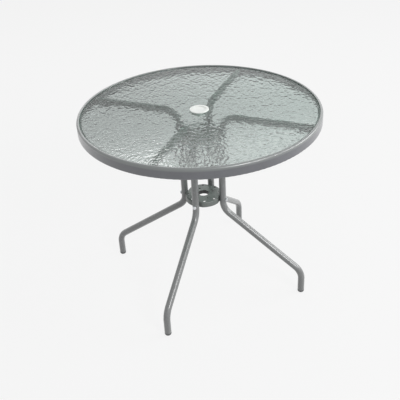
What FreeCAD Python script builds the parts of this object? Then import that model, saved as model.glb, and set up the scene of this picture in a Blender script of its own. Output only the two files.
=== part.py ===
import FreeCAD, Part
import math
import os

# Round patio table with a rippled glass top, a hole for an umbrella pole and four bent tube legs.
# Millimetres. +Z is up, the floor is z = 0 and the pole's axis is x = y = 0.
# The legs stand on +X (right), +Y (back), -X (left) and -Y (front).

# Whole table
table_radius = 425.0
table_height = 715.0
leg_angles = {"right": 0.0, "back": 90.0, "left": 180.0, "front": 270.0}

# Rim hoop, rolled from one strip of steel sheet
rim_sheet = 1.5
rim_height = 39.0
rim_lip_width = 10.2
rim_hem_width = 6.0
rim_hem_bend = 2.0
rim_shoulder_bend = 6.5
rim_lip_bend = 2.0
rim_ledge_bend = 1.5
rim_ledge_width = 7.0

# Glass and the pads under it
glass_thickness = 5.0
glass_depth_in_rim = 4.0
glass_edge_gap = 1.0
glass_edge_round = 1.2
glass_hole_radius = 27.5
pad_thickness = 1.0
ledge_pad_count = 8
ledge_pad_angle = 2.2
ledge_pad_width = 5.0
arm_pad_radius = 5.0
arm_pad_spots = (150.0, 290.0)
arm_pad_skirt = 1.2

# Plastic ring in the glass hole and the cap that closes it
ring_flange_radius = 34.0
ring_flange_height = 3.2
ring_flange_round = 1.4
ring_gap_in_glass = 0.5
ring_seat_radius = 24.5
ring_bore_radius = 23.0
ring_skirt_below_glass = 9.0
cap_gap = 0.3
cap_disc_thickness = 2.2
cap_dish_depth = 0.8
cap_border = 3.6
cap_wall = 1.6
cap_skirt_length = 10.0

# Leg tubes
tube_radius = 12.5
tube_wall = 1.2
tube_bend = 60.0
post_radius = 77.0
knee_height = 319.0
foot_radius = 385.0
ankle_height = 95.0
arm_gap_to_ledge = 3.0

# Plastic ends of the tubes
plug_gap = 0.15
foot_cap_height = 12.0
foot_cap_flat_radius = 4.0
foot_cap_stem = 16.0
arm_plug_head = 2.0
arm_plug_stem = 8.0

# Two like pressed hub plates between the legs, each with a collar for the pole
seat_gap = 0.2
hub_sheet = 2.0
hub_skirt_height = 21.0
hub_above_bend = 0.5
upper_hub_below_bend = 12.0
hub_corner_reach = 3.3
hub_corner_round = 8.0
hub_edge_bend = 4.0
hub_hole_radius = 4.5
hub_hole_edge = 10.0
hub_hole_angle = 25.0
hub_inner_hole_radius = 4.0
hub_inner_hole_edge = 15.0
collar_bore_radius = 20.0
collar_wall = 2.0
collar_length = 15.0
collar_stand = 0.4

# M6 bolts, nuts and washers that hold each leg to the hub plates
thread_radius = 3.0
clear_hole_radius = 3.3
nut_width = 10.0
nut_height = 5.0
socket_width = 4.0
thread_end = 2.0
hub_bolt_head_radius = 6.0
hub_bolt_head_height = 4.0
hub_bolt_head_round = 2.2
washer_radius = 7.0
washer_thickness = 1.2

# Brackets welded inside the rim, and the screws from them up into the arms
bracket_sheet = 1.5
bracket_width = 24.0
bracket_bend = 3.0
bracket_under_arm = 48.0
bracket_below_ledge = 1.5
bracket_screw_spots = (17.0, 37.0)
bracket_screw_head_radius = 6.0
bracket_screw_head_height = 2.2
bracket_screw_head_round = 1.2

# Places worked out from the sizes above
rim_bottom = table_height - rim_height
rim_wall_radius = table_radius - rim_sheet
lip_inner_radius = table_radius - rim_lip_width
glass_top_height = table_height - glass_depth_in_rim
glass_bottom_height = glass_top_height - glass_thickness
glass_radius = lip_inner_radius - glass_edge_gap
ledge_top_height = glass_bottom_height - pad_thickness
ledge_inner_radius = lip_inner_radius - rim_ledge_width
arm_height = glass_bottom_height - pad_thickness - tube_radius
arm_end_radius = ledge_inner_radius - arm_gap_to_ledge
arm_tube_end = arm_end_radius - arm_plug_head
tube_inner_radius = tube_radius - tube_wall
slope_angle = math.atan2(foot_radius - post_radius, knee_height - ankle_height)
knee_tangent = tube_bend * math.tan(0.5 * slope_angle)
hub_bottom_height = knee_height + knee_tangent + hub_above_bend
hub_top_height = hub_bottom_height + hub_skirt_height
upper_hub_top_height = arm_height - tube_bend - upper_hub_below_bend
hub_spacing = upper_hub_top_height - hub_top_height
hub_flat_distance = post_radius - tube_radius - seat_gap
hub_radius = hub_flat_distance + hub_corner_reach
hub_bolt_height = hub_bottom_height + 0.5 * (hub_skirt_height - hub_edge_bend)
hub_hole_circle = hub_radius - hub_hole_edge
collar_outer_radius = collar_bore_radius + collar_wall
collar_top_height = hub_top_height + collar_stand
hub_inner_hole_circle = collar_outer_radius + hub_inner_hole_edge
nut_corner_radius = nut_width / math.sqrt(3.0)
bracket_top_face = arm_height - tube_radius - seat_gap
bracket_inner_radius = arm_end_radius - bracket_under_arm

UP = FreeCAD.Vector(0, 0, 1)
ORIGIN = FreeCAD.Vector(0, 0, 0)


def point(x, z):
    """Point of a section drawn in the XZ plane."""
    return FreeCAD.Vector(x, 0, z)


def turned(shape, degrees):
    """Copy of a shape turned about the pole's axis."""
    copy = shape.copy()
    copy.rotate(ORIGIN, UP, degrees)
    return copy


def arc_edge(first, middle, last):
    """Arc through three points."""
    return Part.Arc(first, middle, last).toShape()


def line_edge(first, last):
    """Straight edge between two points."""
    return Part.makeLine(first, last)


def bent_edges(corners, bends, offset):
    """Straight runs joined by tangent arcs, moved sideways to the left of their direction."""
    directions = []
    for first, last in zip(corners, corners[1:]):
        directions.append((last - first).normalize())
    sides = [FreeCAD.Vector(-d.z, 0, d.x) for d in directions]
    edges = []
    start = corners[0] + sides[0] * offset
    for index, bend in enumerate(bends):
        corner = corners[index + 1]
        before, after = directions[index], directions[index + 1]
        side_before, side_after = sides[index], sides[index + 1]
        turn = before.getAngle(after)
        way = 1.0 if side_before.dot(after) > 0 else -1.0
        tangent = bend * math.tan(0.5 * turn)
        arc_start = corner - before * tangent
        arc_end = corner + after * tangent
        centre = arc_start + side_before * (way * bend)
        outward = (corner - centre).normalize()
        arc_middle = centre + outward * (bend - way * offset)
        edges.append(line_edge(start, arc_start + side_before * offset))
        start = arc_end + side_after * offset
        edges.append(arc_edge(arc_start + side_before * offset, arc_middle, start))
    edges.append(line_edge(start, corners[-1] + sides[-1] * offset))
    return edges


def sheet_section(corners, bends, sheet):
    """Face of a bent sheet seen edge on, from its middle line and the radius of each bend."""
    left = bent_edges(corners, bends, 0.5 * sheet)
    right = bent_edges(corners, bends, -0.5 * sheet)
    start_cap = line_edge(left[0].Vertexes[0].Point, right[0].Vertexes[0].Point)
    end_cap = line_edge(left[-1].Vertexes[-1].Point, right[-1].Vertexes[-1].Point)
    edges = Part.__sortEdges__(left + right + [start_cap, end_cap])
    return Part.Face(Part.Wire(edges))


def swept_rod(corners, bends, radius):
    """Round solid rod along a bent path."""
    path = Part.Wire(bent_edges(corners, bends, 0.0))
    along = (corners[1] - corners[0]).normalize()
    circle = Part.Wire(Part.makeCircle(radius, corners[0], along))
    return path.makePipeShell([circle], True, False)


def rod(radius, length, base, along):
    """Plain cylinder."""
    return Part.makeCylinder(radius, length, base, along)


def hex_prism(width, height):
    """Hexagonal prism standing on z = 0, with two flats square to X and the width across them."""
    reach = width / math.sqrt(3.0)
    corners = []
    for index in range(7):
        angle = math.radians(60.0 * index + 30.0)
        corners.append(FreeCAD.Vector(reach * math.cos(angle), reach * math.sin(angle), 0))
    return Part.Face(Part.makePolygon(corners)).extrude(UP * height)


def rounded_top(shape, height, radius):
    """Round the edges of a solid that lie at one height."""
    edges = []
    for edge in shape.Edges:
        if abs(edge.BoundBox.ZMin - height) < 1e-6 and abs(edge.BoundBox.ZMax - height) < 1e-6:
            edges.append(edge)
    return shape.makeFillet(radius, edges)


def bolt(head_radius, head_height, head_round, length):
    """Socket head bolt with its head above z = 0 and its shank below."""
    head = rounded_top(rod(head_radius, head_height, ORIGIN, UP), head_height, head_round)
    socket = hex_prism(socket_width, head_height)
    socket.translate(UP * (0.5 * head_height))
    shank = rod(thread_radius, length, ORIGIN, -UP)
    return head.cut(socket).fuse(shank).removeSplitter()


def nut():
    """Hexagonal nut standing on z = 0."""
    bore = rod(thread_radius + plug_gap, nut_height, ORIGIN, UP)
    return hex_prism(nut_width, nut_height).cut(bore)


def lay_outward(shape, distance, height):
    """Turn a piece that stands along +Z so that it points along +X, at a distance from the axis."""
    copy = shape.copy()
    copy.rotate(ORIGIN, FreeCAD.Vector(0, 1, 0), 90)
    copy.translate(FreeCAD.Vector(distance, 0, height))
    return copy


def raised(shape):
    """Copy of a piece of the lower hub at the height of the upper one."""
    copy = shape.copy()
    copy.translate(UP * hub_spacing)
    return copy


def at_both_hubs(shape):
    """Copies of a right-hand piece of the lower hub at all four legs of both hubs, as one group of solids."""
    levels = (shape, raised(shape))
    return Part.makeCompound([turned(piece, angle) for piece in levels for angle in leg_angles.values()])


def make_rim_hoop():
    """Hoop with a hem at its foot, a rounded lip and an inner ledge for the glass."""
    half = 0.5 * rim_sheet
    outside = table_radius - half
    inside = lip_inner_radius + half
    corners = [
        point(table_radius - rim_hem_width, rim_bottom + half),
        point(outside, rim_bottom + half),
        point(outside, table_height - half),
        point(inside, table_height - half),
        point(inside, ledge_top_height - half),
        point(ledge_inner_radius, ledge_top_height - half),
    ]
    bends = [rim_hem_bend, rim_shoulder_bend, rim_lip_bend, rim_ledge_bend]
    return sheet_section(corners, bends, rim_sheet).revolve(ORIGIN, UP, 360)


def make_glass_top():
    """Glass disc with ground edges and the umbrella hole."""
    base = UP * glass_bottom_height
    disc = rod(glass_radius, glass_thickness, base, UP)
    disc = rounded_top(disc, glass_top_height, glass_edge_round)
    disc = rounded_top(disc, glass_bottom_height, glass_edge_round)
    return disc.cut(rod(glass_hole_radius, glass_thickness, base, UP))


def make_ledge_pads():
    """Clear pads on the rim's ledge, spread between the legs."""
    middle = 0.5 * (ledge_inner_radius + lip_inner_radius)
    outer = rod(middle + 0.5 * ledge_pad_width, pad_thickness, UP * ledge_top_height, UP)
    inner = rod(middle - 0.5 * ledge_pad_width, pad_thickness, UP * ledge_top_height, UP)
    wedge = Part.makeCylinder(table_radius, pad_thickness, UP * ledge_top_height, UP, ledge_pad_angle)
    pad = outer.cut(inner).common(wedge)
    step = 360.0 / ledge_pad_count
    first = 0.5 * (step - ledge_pad_angle)
    return Part.makeCompound([turned(pad, first + step * index) for index in range(ledge_pad_count)])


def make_arm_pads():
    """Clear pads on top of the arms, hollowed to sit on the round tube."""
    height = pad_thickness + arm_pad_skirt
    arm = rod(tube_radius + plug_gap, table_radius, point(0, arm_height), FreeCAD.Vector(1, 0, 0))
    pads = []
    for spot in arm_pad_spots:
        pad = rod(arm_pad_radius, height, point(spot, glass_bottom_height - height), UP)
        pads += [turned(pad.cut(arm), angle) for angle in leg_angles.values()]
    return Part.makeCompound(pads)


def make_umbrella_ring():
    """Plastic ring with a flange on the glass, a skirt through it and a step that seats the cap."""
    skirt_radius = glass_hole_radius - ring_gap_in_glass
    top = glass_top_height + ring_flange_height
    bottom = glass_bottom_height - ring_skirt_below_glass
    flange = rod(ring_flange_radius, ring_flange_height, UP * glass_top_height, UP)
    flange = rounded_top(flange, top, ring_flange_round)
    skirt = rod(skirt_radius, glass_top_height - bottom, UP * bottom, UP)
    seat = rod(ring_seat_radius, ring_flange_height, UP * glass_top_height, UP)
    bore = rod(ring_bore_radius, top - bottom, UP * bottom, UP)
    return flange.fuse(skirt).cut(seat).cut(bore).removeSplitter()


def make_umbrella_cap():
    """Cap with a shallow dish on top and a thin skirt that drops into the ring."""
    disc_radius = ring_seat_radius - cap_gap
    skirt_radius = ring_bore_radius - cap_gap
    top = glass_top_height + cap_disc_thickness
    disc = rod(disc_radius, cap_disc_thickness, UP * glass_top_height, UP)
    dish = rod(disc_radius - cap_border, cap_dish_depth, UP * (top - cap_dish_depth), UP)
    skirt_base = UP * (glass_top_height - cap_skirt_length)
    skirt = rod(skirt_radius, cap_skirt_length, skirt_base, UP)
    hollow = rod(skirt_radius - cap_wall, cap_skirt_length, skirt_base, UP)
    return disc.cut(dish).fuse(skirt.cut(hollow)).removeSplitter()


def leg_path():
    """Corners of a leg's middle line, from the rim in, down past the hub and out to the foot."""
    return [
        point(arm_tube_end, arm_height),
        point(post_radius, arm_height),
        point(post_radius, knee_height),
        point(foot_radius, ankle_height),
        point(foot_radius, foot_cap_height),
    ]


def make_leg_tube():
    """Bent steel tube with the holes for its hub bolts and its bracket screws."""
    bends = [tube_bend, tube_bend, tube_bend]
    outside = swept_rod(leg_path(), bends, tube_radius)
    inside = swept_rod(leg_path(), bends, tube_inner_radius)
    bolt_start = point(post_radius - 2.0 * tube_radius, hub_bolt_height)
    bolt_hole = rod(clear_hole_radius, 4.0 * tube_radius, bolt_start, FreeCAD.Vector(1, 0, 0))
    tube = outside.cut(inside).cut(bolt_hole).cut(raised(bolt_hole))
    for spot in bracket_screw_spots:
        hole_top = point(arm_end_radius - spot, arm_height)
        tube = tube.cut(rod(clear_hole_radius, 2.0 * tube_radius, hole_top, -UP))
    return tube


def make_foot_cap():
    """Plastic foot: a stem inside the tube and a rounded head with a small flat on the floor."""
    round_radius = tube_radius - foot_cap_flat_radius
    middle = round_radius * math.sqrt(0.5)
    centre = point(foot_cap_flat_radius, round_radius)
    on_arc = centre + FreeCAD.Vector(middle, 0, -middle)
    stem_radius = tube_inner_radius - plug_gap
    stem_top = foot_cap_height + foot_cap_stem
    outline = [
        line_edge(ORIGIN, point(foot_cap_flat_radius, 0)),
        arc_edge(point(foot_cap_flat_radius, 0), on_arc, point(tube_radius, round_radius)),
        line_edge(point(tube_radius, round_radius), point(tube_radius, foot_cap_height)),
        line_edge(point(tube_radius, foot_cap_height), point(stem_radius, foot_cap_height)),
        line_edge(point(stem_radius, foot_cap_height), point(stem_radius, stem_top)),
        line_edge(point(stem_radius, stem_top), point(0, stem_top)),
        line_edge(point(0, stem_top), ORIGIN),
    ]
    cap = Part.Face(Part.Wire(outline)).revolve(ORIGIN, UP, 360)
    cap.translate(FreeCAD.Vector(foot_radius, 0, 0))
    return cap


def make_arm_plug():
    """Plastic plug in the open end of the arm."""
    head = rod(tube_radius, arm_plug_head, ORIGIN, UP)
    head = rounded_top(head, arm_plug_head, 0.5 * arm_plug_head)
    stem = rod(tube_inner_radius - plug_gap, arm_plug_stem, ORIGIN, -UP)
    return lay_outward(head.fuse(stem).removeSplitter(), arm_tube_end, arm_height)


def make_rim_bracket():
    """L-shaped bracket: one leg on the inside of the rim's wall, the other under the arm."""
    half = 0.5 * bracket_sheet
    reach = math.sqrt(rim_wall_radius ** 2 - (0.5 * bracket_width) ** 2)
    corners = [
        point(bracket_inner_radius, bracket_top_face - half),
        point(reach - half, bracket_top_face - half),
        point(reach - half, ledge_top_height - rim_sheet - bracket_below_ledge),
    ]
    section = sheet_section(corners, [bracket_bend], bracket_sheet)
    bracket = section.extrude(FreeCAD.Vector(0, bracket_width, 0))
    bracket.translate(FreeCAD.Vector(0, -0.5 * bracket_width, 0))
    for spot in bracket_screw_spots:
        hole_top = point(arm_end_radius - spot, arm_height)
        bracket = bracket.cut(rod(clear_hole_radius, 2.0 * tube_radius, hole_top, -UP))
    return bracket


def nut_floor_height():
    """Height at which a nut rests by its corners on the inside of the arm."""
    drop = math.sqrt(tube_inner_radius ** 2 - nut_corner_radius ** 2)
    return arm_height - drop + plug_gap


def make_bracket_screws():
    """Screws with flat round heads that go up through the brackets into the arms."""
    head_seat = bracket_top_face - bracket_sheet
    length = nut_floor_height() + nut_height + thread_end - head_seat
    sizes = (bracket_screw_head_radius, bracket_screw_head_height, bracket_screw_head_round)
    screw = bolt(*sizes, length)
    screw.rotate(ORIGIN, FreeCAD.Vector(1, 0, 0), 180)
    screws = []
    for spot in bracket_screw_spots:
        placed = screw.copy()
        placed.translate(point(arm_end_radius - spot, head_seat))
        screws += [turned(placed, angle) for angle in leg_angles.values()]
    return Part.makeCompound(screws)


def make_bracket_nuts():
    """Nuts inside the arms for the bracket screws."""
    nuts = []
    for spot in bracket_screw_spots:
        placed = nut()
        placed.translate(point(arm_end_radius - spot, nut_floor_height()))
        nuts += [turned(placed, angle) for angle in leg_angles.values()]
    return Part.makeCompound(nuts)


def hub_block(inset, height):
    """Round block with four flats for the legs, smaller all round by the inset."""
    radius = hub_radius - inset
    flat = hub_flat_distance - inset
    base = UP * hub_bottom_height
    square = Part.makeBox(2 * flat, 2 * flat, height, base - FreeCAD.Vector(flat, flat, 0))
    block = rod(radius, height, base, UP).common(square)
    uprights = [edge for edge in block.Edges if edge.BoundBox.ZLength > 0.5 * height]
    block = block.makeFillet(hub_corner_round - inset, uprights)
    return rounded_top(block, hub_bottom_height + height, hub_edge_bend - inset)


def make_hub_plate():
    """Lower plate: a pressed dish with a turned-down skirt, holes beside each leg and between the legs."""
    dish = hub_block(0.0, hub_skirt_height).cut(hub_block(hub_sheet, hub_skirt_height - hub_sheet))
    through = 2.0 * hub_skirt_height
    below = UP * hub_bottom_height
    dish = dish.cut(rod(collar_outer_radius + plug_gap, through, below, UP))
    bolt_hole = rod(clear_hole_radius, hub_radius, point(0, hub_bolt_height), FreeCAD.Vector(1, 0, 0))
    for angle in leg_angles.values():
        dish = dish.cut(turned(bolt_hole, angle))
        inner = below + point(hub_inner_hole_circle, 0)
        dish = dish.cut(turned(rod(hub_inner_hole_radius, through, inner, UP), angle + 45.0))
        for side in (-hub_hole_angle, hub_hole_angle):
            outer = below + point(hub_hole_circle, 0)
            dish = dish.cut(turned(rod(hub_hole_radius, through, outer, UP), angle + side))
    return dish


def make_pole_collar():
    """Short sleeve in the middle of the lower hub plate that guides the umbrella pole."""
    base = UP * (collar_top_height - collar_length)
    sleeve = rod(collar_outer_radius, collar_length, base, UP)
    return sleeve.cut(rod(collar_bore_radius, collar_length, base, UP))


def make_hub_bolts():
    """Bolts from the outside of each leg through the tube and the skirts of both hub plates."""
    seat = post_radius + tube_radius + seat_gap + washer_thickness
    nut_inside = hub_flat_distance - hub_sheet - nut_height
    length = seat - nut_inside + thread_end
    sizes = (hub_bolt_head_radius, hub_bolt_head_height, hub_bolt_head_round)
    return at_both_hubs(lay_outward(bolt(*sizes, length), seat, hub_bolt_height))


def make_hub_washers():
    """Washers between the legs and the bolt heads."""
    washer = rod(washer_radius, washer_thickness, ORIGIN, UP)
    washer = washer.cut(rod(clear_hole_radius, washer_thickness, ORIGIN, UP))
    return at_both_hubs(lay_outward(washer, post_radius + tube_radius + seat_gap, hub_bolt_height))


def make_hub_nuts():
    """Nuts inside the skirts of both hub plates."""
    seat = hub_flat_distance - hub_sheet - nut_height
    return at_both_hubs(lay_outward(nut(), seat, hub_bolt_height))


def make_nodes():
    """Every piece of the table under its own name."""
    nodes = {
        "rim_hoop": make_rim_hoop(),
        "glass_top": make_glass_top(),
        "ledge_pads": make_ledge_pads(),
        "arm_pads": make_arm_pads(),
        "umbrella_ring": make_umbrella_ring(),
        "umbrella_cap": make_umbrella_cap(),
        "lower_hub_plate": make_hub_plate(),
        "upper_hub_plate": raised(make_hub_plate()),
        "lower_pole_collar": make_pole_collar(),
        "upper_pole_collar": raised(make_pole_collar()),
        "hub_bolts": make_hub_bolts(),
        "hub_washers": make_hub_washers(),
        "hub_nuts": make_hub_nuts(),
        "bracket_screws": make_bracket_screws(),
        "bracket_nuts": make_bracket_nuts(),
    }
    leg_pieces = {
        "leg_tube": make_leg_tube(),
        "foot_cap": make_foot_cap(),
        "arm_plug": make_arm_plug(),
        "rim_bracket": make_rim_bracket(),
    }
    for side, angle in leg_angles.items():
        for piece, shape in leg_pieces.items():
            nodes[side + "_" + piece] = turned(shape, angle)
    return nodes


os.makedirs("parts", exist_ok=True)
for node, shape in make_nodes().items():
    shape.exportStep(os.path.join("parts", node + ".step"))
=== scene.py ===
import math

import bmesh
import bpy
from mathutils import Matrix, Vector, noise


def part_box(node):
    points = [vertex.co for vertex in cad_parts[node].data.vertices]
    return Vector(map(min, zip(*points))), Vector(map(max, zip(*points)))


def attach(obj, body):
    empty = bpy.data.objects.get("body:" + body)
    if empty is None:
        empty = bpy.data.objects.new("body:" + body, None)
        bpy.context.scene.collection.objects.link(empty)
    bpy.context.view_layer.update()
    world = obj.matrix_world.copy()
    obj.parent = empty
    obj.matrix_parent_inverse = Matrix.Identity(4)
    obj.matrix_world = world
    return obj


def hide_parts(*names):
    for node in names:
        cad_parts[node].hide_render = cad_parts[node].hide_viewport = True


# Look of a round patio table: a rippled glass pane in a painted steel rim, four bent tube legs, two pressed
# hub plates and a white plastic ring and cap in the umbrella hole. Metres, in the packed model's own frame.

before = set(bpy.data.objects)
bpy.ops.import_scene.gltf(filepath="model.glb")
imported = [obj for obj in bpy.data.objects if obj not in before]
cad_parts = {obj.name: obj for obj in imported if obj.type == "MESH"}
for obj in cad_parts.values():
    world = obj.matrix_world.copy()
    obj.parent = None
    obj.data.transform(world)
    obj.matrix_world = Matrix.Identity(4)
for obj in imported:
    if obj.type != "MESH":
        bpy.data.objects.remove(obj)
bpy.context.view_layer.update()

bl_info = {
    "name": "Patio umbrella table",
    "version": (1, 0, 0),
    "blender": (4, 5, 0),
    "location": "3D View > Sidebar > Patio table",
    "description": "Rippled glass, painted steel, plastic and zinc for a round table with an umbrella hole",
    "category": "Object",
}

LEG_SIDES = ("right", "back", "left", "front")
HUB_LEVELS = ("lower", "upper")
GLASS_LOW, GLASS_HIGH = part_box("glass_top")

# Ways across the pane: ripple sides leaning to its back get painted light, and its painted shade fades to its
# right
PAINTED_LIGHT_DIRECTION = (-0.40, 0.92, 0.0)
SHADE_FADE_DIRECTION = (0.92, 0.40, 0.0)

# Paint in its pale clouds, dark specks and worn high spots, as shares of its plain brightness
CLOUD_SHADE = 1.12
SPECK_SHADE = 0.8
WEAR_SHADE = 1.7

# Painted light on the rim's rounded upper edge: how far it reaches down, and the height over which it fades
# in
PAINTED_EDGE_LIGHT_DEPTH = 0.014
PAINTED_EDGE_LIGHT_FADE = 0.007

# Cells of the hammered glass: the seed of their stray, which Blender takes from the clock where none is set,
# how far and how often they stray, how steep their sides are, how deep and how fine their grain is, and where
# its pattern starts
CELL_SEED = 1
CELL_STRAY = 0.3
CELL_STRAY_RATE = 0.7
CELL_STEEPNESS = 1.6
CELL_GRAIN = 0.08
CELL_GRAIN_RATE = 2.3
CELL_GRAIN_START = Vector((7.3, 1.7, 4.1))

# The pane's points: how many round the hole and in a quarter turn of the ground edge, and the step beside an
# edge. The ripples fade in over twice that step
HOLE_POINTS = 128
EDGE_STEPS = 4
EDGE_MARGIN = 0.002

# The weld runs outside the collar, under the plate: from the collar's top down to the plate's underside, and
# the bead's place from there, outwards and down, in shares of its radius
COLLAR_TOP_TO_PLATE = 0.0024
WELD_OUT = 0.3
WELD_DOWN = 0.2
WELD_POINTS = 150
WELD_SIDES = 8

# Scales of the weld: how much thinner it is between them, their turn from point to point, and how far and how
# often its radius strays
WELD_SCALE = 0.18
WELD_SCALE_TURN = 1.1
WELD_STRAY = 0.08
WELD_STRAY_RATE = 900.0

# Lamps: name, turn to the right of the camera and rise in degrees, then distance, width and height in metres
LAMPS = (
    ("key_lamp", 34.5, 38.4, 4.2, 1.2, 0.9),
    ("side_lamp", 95.0, 30.0, 4.5, 3.0, 2.0),
    ("window_lamp", 168.0, 27.3, 3.38, 4.0, 0.5),
    ("arc_lamp", 202.0, 42.6, 4.21, 1.8, 0.3),
    ("glint_lamp", 185.0, 45.2, 4.26, 5.0, 1.2),
)
LAMP_AIM = Vector((0.0, 0.0, 0.4))
SENSOR_WIDTH = 36.0

# Sockets of a Mix node that mixes colours
MIX_FIRST = 6
MIX_SECOND = 7
MIX_RESULT = 2


def hole_radius_of(node):
    """Smallest distance of a node's points from the pole's axis."""
    return min(math.hypot(v.co.x, v.co.y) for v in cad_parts[node].data.vertices)


# Shader maths

class Wire:
    """A value inside a material's nodes, so that maths on it reads as an expression."""

    def __init__(self, nodes, socket):
        self.nodes = nodes
        self.socket = socket

    def math(self, operation, *values):
        """A Math node on these values."""
        node = self.nodes.add("ShaderNodeMath", {"operation": operation}, list(values))
        return node["Value"]

    def __add__(self, other):
        return self.math("ADD", self, other)

    def __radd__(self, other):
        return self.math("ADD", other, self)

    def __sub__(self, other):
        return self.math("SUBTRACT", self, other)

    def __rsub__(self, other):
        return self.math("SUBTRACT", other, self)

    def __mul__(self, other):
        return self.math("MULTIPLY", self, other)

    def __rmul__(self, other):
        return self.math("MULTIPLY", other, self)

    def __truediv__(self, other):
        return self.math("DIVIDE", self, other)

    def clamp(self):
        """The value, kept between 0 and 1."""
        return self.math("MINIMUM", self.math("MAXIMUM", self, 0.0), 1.0)

    def step(self, start, end):
        """0 below start, 1 above end and a smooth slope between them."""
        node = self.nodes.add(
            "ShaderNodeMapRange", {"interpolation_type": "SMOOTHSTEP"},
            {"Value": self, "From Min": start, "From Max": end})
        return node["Result"]


class Made:
    """A node that has been added, whose outputs are read by name."""

    def __init__(self, nodes, node):
        self.nodes = nodes
        self.node = node

    def __getitem__(self, name):
        return Wire(self.nodes, self.node.outputs[name])


class Nodes:
    """The nodes of one material or world."""

    def __init__(self, tree):
        self.tree = tree
        tree.nodes.clear()

    def add(self, kind, settings=None, inputs=None):
        """Add a node: its settings, then its inputs, as a dict by socket name or a list in socket order."""
        node = self.tree.nodes.new(kind)
        for name, value in (settings or {}).items():
            setattr(node, name, value)
        pairs = inputs.items() if isinstance(inputs, dict) else enumerate(inputs or [])
        for name, value in pairs:
            socket = node.inputs[name]
            if isinstance(value, Wire):
                self.tree.links.new(value.socket, socket)
            else:
                socket.default_value = value
        return Made(self, node)

    def place(self):
        """Position on the object, in metres."""
        return self.add("ShaderNodeTexCoord")["Object"]

    def scaled(self, vector, scale):
        """A position stretched along its axes."""
        node = self.add("ShaderNodeVectorMath", {"operation": "MULTIPLY"}, [vector, scale])
        return node["Vector"]

    def dot(self, first, second):
        """The dot product of two vectors."""
        return self.add("ShaderNodeVectorMath", {"operation": "DOT_PRODUCT"}, [first, second])["Value"]

    def noise(self, vector, size, detail=2.0, roughness=0.5):
        """Soft random values from 0 to 1, with spots of about the given size in metres."""
        node = self.add(
            "ShaderNodeTexNoise", {"noise_dimensions": "3D"},
            {"Vector": vector, "Scale": 1.0 / size, "Detail": detail, "Roughness": roughness})
        return node["Fac"]

    def blend(self, factor, first, second):
        """A colour between two colours."""
        node = self.add(
            "ShaderNodeMix", {"data_type": "RGBA"},
            {"Factor": factor, MIX_FIRST: first, MIX_SECOND: second})
        return Wire(self, node.node.outputs[MIX_RESULT])

    def inward(self, place):
        """1 on faces that look at the pole's axis or at the floor, and 0 elsewhere: where painted shade goes.
        """
        normal = self.add("ShaderNodeNewGeometry")["True Normal"]
        level = self.scaled(place, (1.0, 1.0, 0.0))
        outward = self.add("ShaderNodeVectorMath", {"operation": "NORMALIZE"}, [level])["Vector"]
        to_axis = 0.0 - self.dot(normal, outward)
        to_floor = 0.0 - self.dot(normal, (0.0, 0.0, 1.0))
        return (to_axis.step(0.2, 0.5) + to_floor.step(0.3, 0.7)).clamp()

    def bump(self, height, depth, strength):
        """A normal tilted by a height, which is in units of depth metres."""
        inputs = {"Height": height, "Distance": depth, "Strength": strength}
        return self.add("ShaderNodeBump", None, inputs)["Normal"]

    def finish(self, shader):
        """Send a shader to the material's output."""
        self.add("ShaderNodeOutputMaterial", None, {"Surface": shader})


def rgba(colour):
    """A colour setting as the four numbers that a socket holds."""
    return (*colour, 1.0)


def shaded(colour, factor):
    """A colour setting times a factor, as the four numbers that a socket holds."""
    return (*(part * factor for part in colour), 1.0)


def new_material(name):
    """An empty node material and its nodes."""
    material = bpy.data.materials.new(name)
    material.use_nodes = True
    return material, Nodes(material.node_tree)


def dress(node_name, material):
    """Give a CAD node a material."""
    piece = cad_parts[node_name]
    piece.data.materials.clear()
    piece.data.materials.append(material)


def finished_mesh(mesh, name):
    """A mesh made from a bmesh, which is then let go."""
    made = bpy.data.meshes.new(name)
    mesh.to_mesh(made)
    mesh.free()
    return made


def add_piece(name, mesh, material, body):
    """Put a new mesh in the scene as a piece of the table."""
    for face in mesh.polygons:
        face.use_smooth = True
    mesh.materials.append(material)
    piece = bpy.data.objects.new(name, mesh)
    bpy.context.scene.collection.objects.link(piece)
    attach(piece, body)
    return piece


# Materials

def steel_material(
        name, paint, coat, coat_roughness, settings, painted_inside_shade=1.0, coat_ior=1.5, painted_light_from=None):
    """Grey paint on steel: faint orange peel, cloudy gloss and paler worn high spots.

    Faces that look at the pole's axis or at the floor are darkened with painted shade. Above the height
    painted_light_from, where one is given, the colour turns paler: painted light on the rim's upper edge.
    """
    material, nodes = new_material(name)
    place = nodes.place()
    cloud = nodes.noise(place, settings.cloud_size, detail=3.0, roughness=0.6)
    speck = nodes.noise(place, settings.peel_size * 1.4, detail=2.0, roughness=0.5)
    peel = nodes.noise(place, settings.peel_size, detail=1.0, roughness=0.4)
    wear = nodes.add("ShaderNodeNewGeometry")["Pointiness"].step(0.56, 0.66)
    wear = wear * nodes.noise(place, 0.02, detail=3.0).step(0.45, 0.65)
    tone = nodes.blend(cloud.step(0.35, 0.65), rgba(paint), shaded(paint, CLOUD_SHADE))
    tone = nodes.blend(speck.step(0.55, 0.75) * 0.35, tone, shaded(paint, SPECK_SHADE))
    tone = nodes.blend(wear * 0.5, tone, shaded(paint, WEAR_SHADE))
    # Painted shade on faces that look at the pole's axis or at the floor, inside the hub plates
    tone = nodes.blend(nodes.inward(place), tone, shaded(paint, painted_inside_shade))
    # Painted light on the rim's rounded upper edge: above the given height the colour turns paler
    if painted_light_from is not None:
        level = nodes.add("ShaderNodeSeparateXYZ", None, [place])["Z"]
        painted_edge_mask = level.step(painted_light_from, painted_light_from + PAINTED_EDGE_LIGHT_FADE)
        tone = nodes.blend(painted_edge_mask, tone, rgba(settings.painted_edge_light))
    surface = nodes.add("ShaderNodeBsdfPrincipled", None, {
        "Base Color": tone,
        "Roughness": settings.roughness + 0.1 * cloud - 0.05,
        "Coat Weight": coat,
        "Coat Roughness": coat_roughness,
        "Coat IOR": coat_ior,
        "Normal": nodes.bump(peel, settings.peel_depth, 0.5),
    })
    nodes.finish(surface["BSDF"])
    return material


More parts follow.
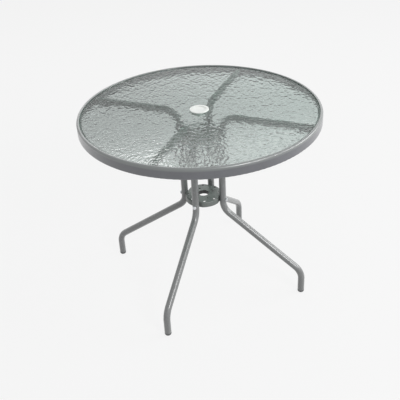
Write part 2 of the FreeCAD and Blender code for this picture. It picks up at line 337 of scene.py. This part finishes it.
def glass_material(settings):
    """Glass with a green cast, painted shade towards the left and painted light and shade on the ripples.

    The painted light and shade on the ripples are stronger at the front of the pane than at its back.
    Shadow rays, and glossy rays that reach the pane from outside, pass straight through it, tinted.
    """
    material, nodes = new_material("rippled_glass")
    radius = GLASS_HIGH.x
    place = nodes.place()
    # Painted light and shade on the ripples: sides leaning to the back are made lighter, to the front darker,
    # more so at the front
    lean = nodes.dot(nodes.add("ShaderNodeNewGeometry")["Normal"], PAINTED_LIGHT_DIRECTION)
    relief = 1.0 - settings.lean_change * (nodes.dot(place, PAINTED_LIGHT_DIRECTION) / radius)
    side = (0.5 + relief * lean / (2.0 * settings.full_lean)).clamp()
    # Painted shade across the pane: darker towards its left edge, lighter towards its right
    across = nodes.dot(place, SHADE_FADE_DIRECTION).step(-radius, radius)
    shades = [
        nodes.blend(across, shaded(settings.shaded_left_tint, part), shaded(settings.lit_right_tint, part))
        for part in (settings.painted_shade_side, settings.painted_light_side)]
    tint_and_painted_light = nodes.blend(side, *shades)
    smudge = nodes.noise(place, 0.12, detail=3.0, roughness=0.6).step(0.4, 0.7)
    surface = nodes.add("ShaderNodeBsdfPrincipled", None, {
        "Base Color": tint_and_painted_light,
        "Roughness": 0.02 + 0.03 * smudge,
        "IOR": 1.45,
        "Transmission Weight": 1.0,
    })
    clear = nodes.add("ShaderNodeBsdfTransparent", None, {"Color": rgba(settings.shadow_tint)})
    path = nodes.add("ShaderNodeLightPath")
    inside = nodes.add("ShaderNodeNewGeometry")["Backfacing"]
    passing = (1.0 - inside + path["Transparent Depth"]).clamp()
    straight = (path["Is Shadow Ray"] + path["Is Glossy Ray"] * passing).clamp()
    mixed = nodes.add("ShaderNodeMixShader", None, [straight, surface["BSDF"], clear["BSDF"]])
    nodes.finish(mixed["Shader"])
    return material


def plastic_material(name, colour, roughness, grain):
    """Moulded plastic with a faint grain and small changes of tone."""
    material, nodes = new_material(name)
    place = nodes.place()
    cloud = nodes.noise(place, 0.015, detail=3.0, roughness=0.6)
    texture = nodes.noise(place, grain)
    tone = nodes.blend(cloud.step(0.3, 0.7), rgba(colour), shaded(colour, 0.93))
    surface = nodes.add("ShaderNodeBsdfPrincipled", None, {
        "Base Color": tone,
        "Roughness": roughness + 0.12 * cloud - 0.06,
        "Normal": nodes.bump(texture, grain * 0.08, 0.4),
    })
    nodes.finish(surface["BSDF"])
    return material


def zinc_material(settings):
    """Bright zinc plate: fine scratches, cloudy gloss and a slightly blue cast."""
    material, nodes = new_material("bright_zinc")
    place = nodes.place()
    cloud = nodes.noise(place, 0.003, detail=3.0, roughness=0.6)
    scratch = nodes.noise(nodes.scaled(place, (1.0, 1.0, 12.0)), 0.004, roughness=0.6)
    tone = nodes.blend(cloud, rgba(settings.zinc), shaded(settings.zinc, 0.82))
    surface = nodes.add("ShaderNodeBsdfPrincipled", None, {
        "Base Color": tone,
        "Metallic": 1.0,
        "Roughness": 0.28 + 0.2 * scratch,
        "Normal": nodes.bump(scratch, 0.00005, 0.4),
    })
    nodes.finish(surface["BSDF"])
    return material


def vinyl_material(settings):
    """Clear soft vinyl of the pads under the glass."""
    material, nodes = new_material("clear_vinyl")
    cloud = nodes.noise(nodes.place(), 0.004)
    tone = nodes.blend(cloud, rgba(settings.vinyl), shaded(settings.vinyl, 0.9))
    surface = nodes.add("ShaderNodeBsdfPrincipled", None, {
        "Base Color": tone,
        "Roughness": 0.3 + 0.15 * cloud,
        "Transmission Weight": 0.6,
        "IOR": 1.45,
    })
    nodes.finish(surface["BSDF"])
    return material


# Settings

class GlassSettings(bpy.types.PropertyGroup):
    """The rippled pane."""

    ripple_size: bpy.props.FloatProperty(
        name="Ripple size", description="Width of one cell of the hammered pattern",
        default=0.0115, min=0.004, max=0.05, unit="LENGTH")
    ripple_depth: bpy.props.FloatProperty(
        name="Ripple depth", description="Height from a valley to a crest on the underside",
        default=0.00083, min=0.0, max=0.003, unit="LENGTH")
    echo_depth: bpy.props.FloatProperty(
        name="Echo depth", description="Height from a valley to a crest on the top",
        default=0.0003, min=0.0, max=0.001, unit="LENGTH")
    grid_step: bpy.props.FloatProperty(
        name="Grid step", description="Spacing of the points that form the ripples",
        default=0.0023, min=0.001, max=0.01, unit="LENGTH")
    edge_round: bpy.props.FloatProperty(
        name="Edge round", description="Radius of the ground outer edge",
        default=0.0012, min=0.0002, max=0.0024, unit="LENGTH")
    # Painted shade across the pane: darker at the left edge than at the right; the green cast is the glass's
    # own
    shaded_left_tint: bpy.props.FloatVectorProperty(
        name="Glass colour at the left",
        description="Colour of light that has gone through the pane's left edge",
        subtype="COLOR", size=3, default=(0.318, 0.352, 0.340), min=0.0, max=1.0)
    lit_right_tint: bpy.props.FloatVectorProperty(
        name="Glass colour at the right",
        description="Colour of light that has gone through the pane's right edge",
        subtype="COLOR", size=3, default=(0.420, 0.488, 0.465), min=0.0, max=1.0)
    shadow_tint: bpy.props.FloatVectorProperty(
        name="Shadow colour",
        description="Share of the light that each face of the pane lets through to shadows and reflections",
        subtype="COLOR", size=3, default=(0.50, 0.61, 0.56), min=0.0, max=1.0)
    # Painted light and shade on the ripples: the slope at which it is full, and how much stronger it is at
    # the front
    full_lean: bpy.props.FloatProperty(
        name="Full lean", description="Slope at which a side of a ripple is at its lightest or darkest",
        default=0.10, min=0.001, max=1.0)
    lean_change: bpy.props.FloatProperty(
        name="Lean change",
        description="How much more a ripple's lean shows at the front, and less at the back",
        default=0.8, min=0.0, max=1.0)
    # Painted shade and painted light on the two sides of each ripple
    painted_shade_side: bpy.props.FloatProperty(
        name="Dark side", description="Brightness of the side of a ripple that leans to the front",
        default=0.60, min=0.0, max=1.0, subtype="FACTOR")
    painted_light_side: bpy.props.FloatProperty(
        name="Light side", description="Brightness of the side of a ripple that leans to the back",
        default=1.48, min=1.0, max=2.0)


class SteelSettings(bpy.types.PropertyGroup):
    """The painted steel of the rim, legs and hub."""

    # Painted shade and a painted bluish reflection: the rim's paint is a darker, bluer copy of the legs' grey
    # paint
    rim_paint: bpy.props.FloatVectorProperty(
        name="Rim paint", description="Colour of the paint on the rim",
        subtype="COLOR", size=3, default=(0.092, 0.0955, 0.108), min=0.0, max=1.0)
    # Painted light: the paler colour on the rim's rounded upper edge stands for the light that edge catches
    painted_edge_light: bpy.props.FloatVectorProperty(
        name="Edge paint", description="Colour of the paler paint on the rim's rounded upper edge",
        subtype="COLOR", size=3, default=(0.172, 0.186, 0.184), min=0.0, max=1.0)
    leg_paint: bpy.props.FloatVectorProperty(
        name="Leg paint", description="Colour of the paint on the legs",
        subtype="COLOR", size=3, default=(0.176, 0.180, 0.181), min=0.0, max=1.0)
    hub_paint: bpy.props.FloatVectorProperty(
        name="Hub paint", description="Colour of the paint on the hub plates and their collars",
        subtype="COLOR", size=3, default=(0.146, 0.162, 0.154), min=0.0, max=1.0)
    roughness: bpy.props.FloatProperty(
        name="Roughness", description="Roughness of the paint",
        default=0.38, min=0.0, max=1.0, subtype="FACTOR")
    rim_coat: bpy.props.FloatProperty(
        name="Rim gloss", description="Weight of the glossy top coat on the rim",
        default=1.0, min=0.0, max=1.0, subtype="FACTOR")
    rim_coat_ior: bpy.props.FloatProperty(
        name="Rim gloss IOR", description="Index of refraction of the top coat on the rim",
        default=1.65, min=1.0, max=3.0)
    rim_coat_roughness: bpy.props.FloatProperty(
        name="Rim gloss roughness", description="Roughness of the top coat on the rim",
        default=0.30, min=0.0, max=1.0, subtype="FACTOR")
    leg_coat: bpy.props.FloatProperty(
        name="Leg gloss", description="Weight of the glossy top coat on the legs",
        default=1.0, min=0.0, max=1.0, subtype="FACTOR")
    hub_coat: bpy.props.FloatProperty(
        name="Hub gloss", description="Weight of the glossy top coat on the hub plates",
        default=0.3, min=0.0, max=1.0, subtype="FACTOR")
    # Painted shade inside the hub plates, on faces that look at the pole's axis or at the floor
    painted_inside_shade: bpy.props.FloatProperty(
        name="Inside shade", description="Brightness of the thin paint inside the hub plates",
        default=0.03, min=0.0, max=1.0, subtype="FACTOR")
    coat_roughness: bpy.props.FloatProperty(
        name="Coat roughness", description="Roughness of the top coat on the legs and hub plates",
        default=0.25, min=0.0, max=1.0, subtype="FACTOR")
    cloud_size: bpy.props.FloatProperty(
        name="Cloud size", description="Size of the soft changes of tone",
        default=0.05, min=0.005, max=0.5, unit="LENGTH")
    peel_size: bpy.props.FloatProperty(
        name="Orange peel size", description="Spacing of the paint's fine relief",
        default=0.004, min=0.0005, max=0.02, unit="LENGTH")
    peel_depth: bpy.props.FloatProperty(
        name="Orange peel depth", description="Height of the paint's fine relief",
        default=0.00001, min=0.0, max=0.001, unit="LENGTH")
    weld_radius: bpy.props.FloatProperty(
        name="Weld radius", description="Radius of the weld beads",
        default=0.0011, min=0.0003, max=0.005, unit="LENGTH")


class FittingSettings(bpy.types.PropertyGroup):
    """Plastic ring, cap, feet and pads, and zinc hardware."""

    white: bpy.props.FloatVectorProperty(
        name="Ring and cap", description="Colour of the umbrella ring and its cap",
        subtype="COLOR", size=3, default=(0.80, 0.825, 0.80), min=0.0, max=1.0)
    grey: bpy.props.FloatVectorProperty(
        name="Feet", description="Colour of the plastic feet and plugs",
        subtype="COLOR", size=3, default=(0.13, 0.132, 0.135), min=0.0, max=1.0)
    vinyl: bpy.props.FloatVectorProperty(
        name="Pads", description="Colour of the clear pads",
        subtype="COLOR", size=3, default=(0.80, 0.83, 0.81), min=0.0, max=1.0)
    zinc: bpy.props.FloatVectorProperty(
        name="Zinc", description="Colour of the plated bolts, washers and nuts",
        subtype="COLOR", size=3, default=(0.72, 0.73, 0.75), min=0.0, max=1.0)


class StageSettings(bpy.types.PropertyGroup):
    """Camera, lamps and backdrop."""

    backdrop: bpy.props.FloatVectorProperty(
        name="Backdrop", description="Colour of the floor and backdrop",
        subtype="COLOR", size=3, default=(0.9216, 0.9216, 0.9216), min=0.0, max=1.0)
    floor_shadow: bpy.props.FloatProperty(
        name="Floor shadow", description="How much of the floor's own light and shadow shows",
        default=0.2, min=0.0, max=1.0, subtype="FACTOR")
    floor_radius: bpy.props.FloatProperty(
        name="Floor radius", description="Radius of the studio floor",
        default=14.0, min=2.0, max=50.0, unit="LENGTH")
    daylight: bpy.props.FloatProperty(
        name="Soft light", description="Strength of the even light from all round",
        default=0.48, min=0.0, max=2.0)
    floor_bounce: bpy.props.FloatProperty(
        name="Floor bounce", description="Share of its light that the floor throws back at the table",
        default=0.35, min=0.0, max=1.0, subtype="FACTOR")
    key_lamp: bpy.props.FloatProperty(
        name="Key lamp", description="Power of the soft lamp high at the right of the camera",
        default=64.0, min=0.0, unit="POWER")
    side_lamp: bpy.props.FloatProperty(
        name="Side lamp", description="Power of the soft lamp at the right of the table",
        default=95.0, min=0.0, unit="POWER")
    window_lamp: bpy.props.FloatProperty(
        name="Window lamp", description="Power of the wide low lamp behind the table",
        default=3.0, min=0.0, unit="POWER")
    glint_lamp: bpy.props.FloatProperty(
        name="Glint lamp", description="Power of the wide high lamp behind the table",
        default=23.0, min=0.0, unit="POWER")
    arc_lamp: bpy.props.FloatProperty(
        name="Arc lamp", description="Power of the narrow lamp behind the table that the ripples catch",
        default=7.0, min=0.0, unit="POWER")
    camera_turn: bpy.props.FloatProperty(
        name="Camera turn", description="Way round the table from the front leg to the camera",
        default=math.radians(23.44), subtype="ANGLE")
    camera_rise: bpy.props.FloatProperty(
        name="Camera rise", description="Angle of the camera above the floor",
        default=math.radians(31.03), subtype="ANGLE")
    camera_distance: bpy.props.FloatProperty(
        name="Camera distance", description="Distance from the camera to the middle of the table",
        default=2.471, min=0.5, unit="LENGTH")
    camera_aim: bpy.props.FloatProperty(
        name="Camera aim", description="Height of the point that the camera is turned round",
        default=0.39325, unit="LENGTH")
    camera_pan: bpy.props.FloatProperty(
        name="Camera pan", description="Turn of the camera to the right of that point",
        default=math.radians(-0.34), subtype="ANGLE")
    camera_tilt: bpy.props.FloatProperty(
        name="Camera tilt", description="Turn of the camera above that point",
        default=math.radians(-1.036), subtype="ANGLE")
    camera_roll: bpy.props.FloatProperty(
        name="Camera roll", description="Roll of the camera about its own line of sight",
        default=math.radians(-3.217), subtype="ANGLE")
    camera_lens: bpy.props.FloatProperty(
        name="Camera lens", description="Focal length on a 36 mm sensor",
        default=59.6, min=10.0, max=300.0, unit="CAMERA")


# Glass

def ripple_height(x, y, size):
    """Depth of the hammered pattern from 0 to 1: round cells of uneven size, with valleys between them."""
    spot = Vector((x, y, 0.0)) / size
    spot += CELL_STRAY * noise.noise_vector(spot * CELL_STRAY_RATE)
    nearest = noise.voronoi(spot)[0][0]
    grain = noise.noise(spot * CELL_GRAIN_RATE + CELL_GRAIN_START)
    return min(1.0, max(0.0, CELL_STEEPNESS * nearest ** 2 + CELL_GRAIN * grain))


def ring_points(mesh, radius, count, height):
    """A closed ring of points whose height may follow the place."""
    points = []
    for index in range(count):
        turn = math.tau * index / count
        x, y = radius * math.cos(turn), radius * math.sin(turn)
        z = height(x, y) if callable(height) else height
        points.append(mesh.verts.new((x, y, z)))
    return points


def join_rings(mesh, inner, outer):
    """Faces between two rings, the outer with as many points as the inner or twice as many."""
    count = len(inner)
    if len(outer) == count:
        for index in range(count):
            after = (index + 1) % count
            mesh.faces.new((inner[index], outer[index], outer[after], inner[after]))
        return
    for index in range(count):
        after = (index + 1) % count
        first, middle, last = outer[2 * index], outer[2 * index + 1], outer[(2 * index + 2) % len(outer)]
        mesh.faces.new((inner[index], first, middle))
        mesh.faces.new((inner[index], middle, inner[after]))
        mesh.faces.new((inner[after], middle, last))


def make_pane_mesh(settings):
    """Pane with ground edges, an umbrella hole, ripples underneath and a faint echo of them on top."""
    outer_radius = GLASS_HIGH.x
    hole_radius = hole_radius_of("glass_top")
    top, bottom = GLASS_HIGH.z, GLASS_LOW.z
    rounded = settings.edge_round
    inside = outer_radius - rounded

    def fade(x, y):
        radius = math.hypot(x, y)
        edge = min(radius - hole_radius, inside - radius) / (2.0 * EDGE_MARGIN)
        return min(1.0, max(0.0, edge))

    def relief(x, y):
        return bottom + settings.ripple_depth * fade(x, y) * ripple_height(x, y, settings.ripple_size)

    def echo(x, y):
        return top - settings.echo_depth * fade(x, y) * ripple_height(x, y, settings.ripple_size)

    def radii():
        found = [hole_radius, hole_radius + 0.5 * EDGE_MARGIN]
        while found[-1] + settings.grid_step < inside - EDGE_MARGIN:
            found.append(found[-1] + settings.grid_step)
        return [*found, inside - EDGE_MARGIN, inside]

    def sheet(height):
        rings = []
        count = HOLE_POINTS
        for radius in radii():
            if math.tau * radius / count > settings.grid_step:
                count *= 2
            rings.append(ring_points(mesh, radius, count, height))
        return rings

    noise.seed_set(CELL_SEED)
    mesh = bmesh.new()
    under = sheet(relief)
    over = sheet(echo)
    for rings in (under, over):
        for inner, outer in zip(rings, rings[1:]):
            join_rings(mesh, inner, outer)
    count = len(under[-1])
    edge = [under[-1]]
    for step in range(1, EDGE_STEPS + 1):
        turn = 0.5 * math.pi * step / EDGE_STEPS
        height = bottom + rounded * (1.0 - math.cos(turn))
        edge.append(ring_points(mesh, inside + rounded * math.sin(turn), count, height))
    for step in range(EDGE_STEPS):
        turn = 0.5 * math.pi * step / EDGE_STEPS
        height = top - rounded * (1.0 - math.sin(turn))
        edge.append(ring_points(mesh, inside + rounded * math.cos(turn), count, height))
    edge.append(over[-1])
    for inner, outer in zip(edge, edge[1:]):
        join_rings(mesh, inner, outer)
    join_rings(mesh, under[0], over[0])
    bmesh.ops.recalc_face_normals(mesh, faces=mesh.faces)
    return finished_mesh(mesh, "rippled_pane")


# Weld beads

def bead_mesh(name, path, radius):
    """A closed weld bead of overlapping scales along a path of points."""
    mesh = bmesh.new()
    rings = []
    for index, spot in enumerate(path):
        along = (path[(index + 1) % len(path)] - path[index - 1]).normalized()
        across = along.orthogonal().normalized()
        other = along.cross(across)
        swell = 1.0 - WELD_SCALE + WELD_SCALE * abs(math.sin(WELD_SCALE_TURN * index))
        swell += WELD_STRAY * noise.noise(spot * WELD_STRAY_RATE)
        ring = []
        for corner in range(WELD_SIDES):
            turn = math.tau * corner / WELD_SIDES
            offset = across * math.cos(turn) + other * math.sin(turn)
            ring.append(mesh.verts.new(spot + offset * (radius * swell)))
        rings.append(ring)
    for first, second in zip(rings, rings[1:] + rings[:1]):
        join_turned_rings(mesh, first, second)
    bmesh.ops.recalc_face_normals(mesh, faces=mesh.faces)
    return finished_mesh(mesh, name)


def join_turned_rings(mesh, first, second):
    """Faces between two rings of a bead, each point joined to the one nearest to it."""
    count = len(first)

    def spread(shift):
        return sum((first[i].co - second[(i + shift) % count].co).length for i in range(count))

    shift = min(range(count), key=spread)
    for index in range(count):
        after = (index + 1) % count
        mesh.faces.new((
            first[index], first[after], second[(after + shift) % count], second[(index + shift) % count]))


def circle_path(radius, height, count):
    """Points round the pole's axis."""
    return [
        Vector((radius * math.cos(math.tau * i / count), radius * math.sin(math.tau * i / count), height))
        for i in range(count)
    ]


# Operators

class PATIO_OT_glass(bpy.types.Operator):
    """Replace the plain pane with one that is rippled underneath"""

    bl_idname = "patio.glass"
    bl_label = "Rippled glass"

    def execute(self, context):
        settings = context.scene.patio_glass
        material = glass_material(settings)
        pane = add_piece("rippled_pane", make_pane_mesh(settings), material, "glass")
        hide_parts("glass_top")
        return {"FINISHED"}


class PATIO_OT_rim(bpy.types.Operator):
    """Paint the rim hoop and the brackets inside it"""

    bl_idname = "patio.rim"
    bl_label = "Rim and brackets"

    def execute(self, context):
        settings = context.scene.patio_steel
        # The rim's rounded upper edge gets painted light
        material = steel_material(
            "rim_paint", settings.rim_paint, settings.rim_coat, settings.rim_coat_roughness, settings,
            coat_ior=settings.rim_coat_ior, painted_light_from=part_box("rim_hoop")[1].z - PAINTED_EDGE_LIGHT_DEPTH)
        dress("rim_hoop", material)
        for side in LEG_SIDES:
            dress(side + "_rim_bracket", material)
        return {"FINISHED"}


class PATIO_OT_legs(bpy.types.Operator):
    """Paint the bent leg tubes"""

    bl_idname = "patio.legs"
    bl_label = "Legs"

    def execute(self, context):
        settings = context.scene.patio_steel
        material = steel_material(
            "leg_paint", settings.leg_paint, settings.leg_coat, settings.coat_roughness, settings)
        for side in LEG_SIDES:
            dress(side + "_leg_tube", material)
        return {"FINISHED"}


class PATIO_OT_hub(bpy.types.Operator):
    """Paint the hub plates and their collars, and weld the collars in"""

    bl_idname = "patio.hub"
    bl_label = "Hub plates and collars"

    def execute(self, context):
        settings = context.scene.patio_steel
        # The hub plates get painted shade inside
        material = steel_material(
            "hub_paint", settings.hub_paint, settings.hub_coat, settings.coat_roughness, settings,
            settings.painted_inside_shade)
        for level in HUB_LEVELS:
            dress(level + "_hub_plate", material)
            dress(level + "_pole_collar", material)
            collar_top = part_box(level + "_pole_collar")[1]
            radius = collar_top.x + WELD_OUT * settings.weld_radius
            height = collar_top.z - COLLAR_TOP_TO_PLATE - WELD_DOWN * settings.weld_radius
            name = level + "_collar_weld"
            mesh = bead_mesh(name, circle_path(radius, height, WELD_POINTS), settings.weld_radius)
            add_piece(name, mesh, material, "frame")
        return {"FINISHED"}


class PATIO_OT_ring_and_cap(bpy.types.Operator):
    """Give the umbrella ring and its cap their white plastic"""

    bl_idname = "patio.ring_and_cap"
    bl_label = "Umbrella ring and cap"

    def execute(self, context):
        white = context.scene.patio_fittings.white
        material = plastic_material("white_plastic", white, roughness=0.32, grain=0.0012)
        dress("umbrella_ring", material)
        dress("umbrella_cap", material)
        return {"FINISHED"}


class PATIO_OT_feet_and_plugs(bpy.types.Operator):
    """Give the feet and the arm plugs their grey plastic"""

    bl_idname = "patio.feet_and_plugs"
    bl_label = "Feet and plugs"

    def execute(self, context):
        grey = context.scene.patio_fittings.grey
        material = plastic_material("grey_plastic", grey, roughness=0.5, grain=0.0008)
        for side in LEG_SIDES:
            dress(side + "_foot_cap", material)
            dress(side + "_arm_plug", material)
        return {"FINISHED"}


class PATIO_OT_hardware(bpy.types.Operator):
    """Plate the bolts, washers, nuts and screws with zinc"""

    bl_idname = "patio.hardware"
    bl_label = "Bolts, washers and nuts"

    def execute(self, context):
        material = zinc_material(context.scene.patio_fittings)
        for name in ("hub_bolts", "hub_washers", "hub_nuts", "bracket_screws", "bracket_nuts"):
            dress(name, material)
        return {"FINISHED"}


class PATIO_OT_pads(bpy.types.Operator):
    """Give the pads under the glass their clear vinyl"""

    bl_idname = "patio.pads"
    bl_label = "Pads"

    def execute(self, context):
        material = vinyl_material(context.scene.patio_fittings)
        for name in ("ledge_pads", "arm_pads"):
            dress(name, material)
        return {"FINISHED"}


# Stage

def backdrop_rays(nodes):
    """1 for rays that look at the backdrop, also in metal and glass, and 0 for light on the table."""
    path = nodes.add("ShaderNodeLightPath")
    return (path["Is Camera Ray"] + path["Is Glossy Ray"] + path["Is Transmission Ray"]).clamp()


def make_floor(settings):
    """Round studio floor that shows the backdrop's colour and a share of the table's shadow."""
    mesh = bmesh.new()
    bmesh.ops.create_circle(mesh, cap_ends=True, segments=96, radius=settings.floor_radius)
    made = finished_mesh(mesh, "studio_floor")
    material, nodes = new_material("studio_floor")
    grain = nodes.noise(nodes.place(), 0.4)
    bounce = (settings.floor_bounce,) * 3
    tone = nodes.blend(grain, rgba(bounce), shaded(bounce, 0.98))
    lit = nodes.add("ShaderNodeBsdfDiffuse", None, {"Color": tone})
    rest = 1.0 - settings.floor_shadow
    glow = [(part - settings.floor_shadow * settings.floor_bounce) / rest for part in settings.backdrop]
    flat = nodes.add("ShaderNodeEmission", None, {"Color": rgba(glow), "Strength": 1.0})
    share = backdrop_rays(nodes) * rest
    mixed = nodes.add("ShaderNodeMixShader", None, [share, lit["BSDF"], flat["Emission"]])
    nodes.finish(mixed["Shader"])
    made.materials.append(material)
    floor = bpy.data.objects.new("studio_floor", made)
    bpy.context.scene.collection.objects.link(floor)


def make_world(settings):
    """Even light all round, with the backdrop's colour where it is looked at."""
    world = bpy.data.worlds.new("studio")
    world.use_nodes = True
    bpy.context.scene.world = world
    nodes = Nodes(world.node_tree)
    white = (1.0, 1.0, 1.0, 1.0)
    seen = nodes.add("ShaderNodeBackground", None, {"Color": rgba(settings.backdrop), "Strength": 1.0})
    light = nodes.add("ShaderNodeBackground", None, {"Color": white, "Strength": settings.daylight})
    both = [backdrop_rays(nodes), light["Background"], seen["Background"]]
    mixed = nodes.add("ShaderNodeMixShader", None, both)
    nodes.add("ShaderNodeOutputWorld", None, {"Surface": mixed["Shader"]})


def around(turn, rise, distance):
    """A place round the table: turn from the camera's own direction, to the right as the camera sees it."""
    settings = bpy.context.scene.patio_stage
    angle = settings.camera_turn + turn
    return Vector((
        distance * math.cos(rise) * math.sin(angle),
        -distance * math.cos(rise) * math.cos(angle),
        distance * math.sin(rise)))


def add_lamp(name, place, width, height, power):
    """A soft lamp that shines at the table, out of the camera's sight."""
    light = bpy.data.lights.new(name, "AREA")
    light.shape = "RECTANGLE"
    light.size = width
    light.size_y = height
    light.energy = power
    lamp = bpy.data.objects.new(name, light)
    lamp.location = place
    lamp.rotation_mode = "QUATERNION"
    lamp.rotation_quaternion = (LAMP_AIM - place).to_track_quat("-Z", "Y")
    lamp.visible_camera = False
    bpy.context.scene.collection.objects.link(lamp)


def add_camera(settings):
    """Camera at the photograph's angle, from its place, turn and lens."""
    aim = Vector((0.0, 0.0, settings.camera_aim))
    place = aim + around(0.0, settings.camera_rise, settings.camera_distance)
    upright = Vector((0.0, 0.0, 1.0))
    ahead = (aim - place).normalized()
    right = ahead.cross(upright).normalized()
    above = right.cross(ahead)
    ahead += math.tan(settings.camera_pan) * right + math.tan(settings.camera_tilt) * above
    ahead.normalize()
    right = ahead.cross(upright).normalized()
    above = right.cross(ahead)
    side = right * math.cos(settings.camera_roll) + above * math.sin(settings.camera_roll)
    above = above * math.cos(settings.camera_roll) - right * math.sin(settings.camera_roll)
    lens = bpy.data.cameras.new("photo_camera")
    lens.lens = settings.camera_lens
    lens.sensor_width = SENSOR_WIDTH
    camera = bpy.data.objects.new("photo_camera", lens)
    turn = Matrix((side, above, -ahead)).transposed()
    camera.matrix_world = Matrix.Translation(place) @ turn.to_4x4()
    bpy.context.scene.collection.objects.link(camera)
    bpy.context.scene.camera = camera


class PATIO_OT_stage(bpy.types.Operator):
    """Add the camera, the lamps, the pale floor and the backdrop"""

    bl_idname = "patio.stage"
    bl_label = "Stage"

    def execute(self, context):
        settings = context.scene.patio_stage
        make_floor(settings)
        make_world(settings)
        add_camera(settings)
        for name, turn, rise, distance, width, height in LAMPS:
            place = around(math.radians(turn), math.radians(rise), distance)
            add_lamp(name, place, width, height, getattr(settings, name))
        context.scene.view_settings.view_transform = "Standard"
        return {"FINISHED"}


OPERATORS = (
    PATIO_OT_glass, PATIO_OT_rim, PATIO_OT_legs, PATIO_OT_hub, PATIO_OT_ring_and_cap,
    PATIO_OT_feet_and_plugs, PATIO_OT_hardware, PATIO_OT_pads, PATIO_OT_stage,
)
SETTINGS = {
    "patio_glass": GlassSettings,
    "patio_steel": SteelSettings,
    "patio_fittings": FittingSettings,
    "patio_stage": StageSettings,
}


class PATIO_PT_table(bpy.types.Panel):
    """Steps and settings of the table's look"""

    bl_idname = "PATIO_PT_table"
    bl_label = "Patio table"
    bl_space_type = "VIEW_3D"
    bl_region_type = "UI"
    bl_category = "Patio table"

    def draw(self, context):
        for kind in OPERATORS:
            self.layout.operator(kind.bl_idname, text=kind.bl_label)
        for name, kind in SETTINGS.items():
            box = self.layout.box()
            box.label(text=kind.__doc__.rstrip("."))
            settings = getattr(context.scene, name)
            for prop in kind.__annotations__:
                box.prop(settings, prop)


def register():
    """Add the settings, the operators and the panel."""
    for name, kind in SETTINGS.items():
        bpy.utils.register_class(kind)
        setattr(bpy.types.Scene, name, bpy.props.PointerProperty(type=kind))
    for kind in (*OPERATORS, PATIO_PT_table):
        bpy.utils.register_class(kind)


def unregister():
    """Take the panel, the operators and the settings away."""
    for kind in reversed((*OPERATORS, PATIO_PT_table)):
        bpy.utils.unregister_class(kind)
    for name, kind in SETTINGS.items():
        delattr(bpy.types.Scene, name)
        bpy.utils.unregister_class(kind)


def main():
    """Build the look, step by step."""
    register()
    bpy.ops.patio.glass()
    bpy.ops.patio.rim()
    bpy.ops.patio.legs()
    bpy.ops.patio.hub()
    bpy.ops.patio.ring_and_cap()
    bpy.ops.patio.feet_and_plugs()
    bpy.ops.patio.hardware()
    bpy.ops.patio.pads()
    bpy.ops.patio.stage()
    bpy.context.view_layer.update()


if __name__ == "__main__":
    main()
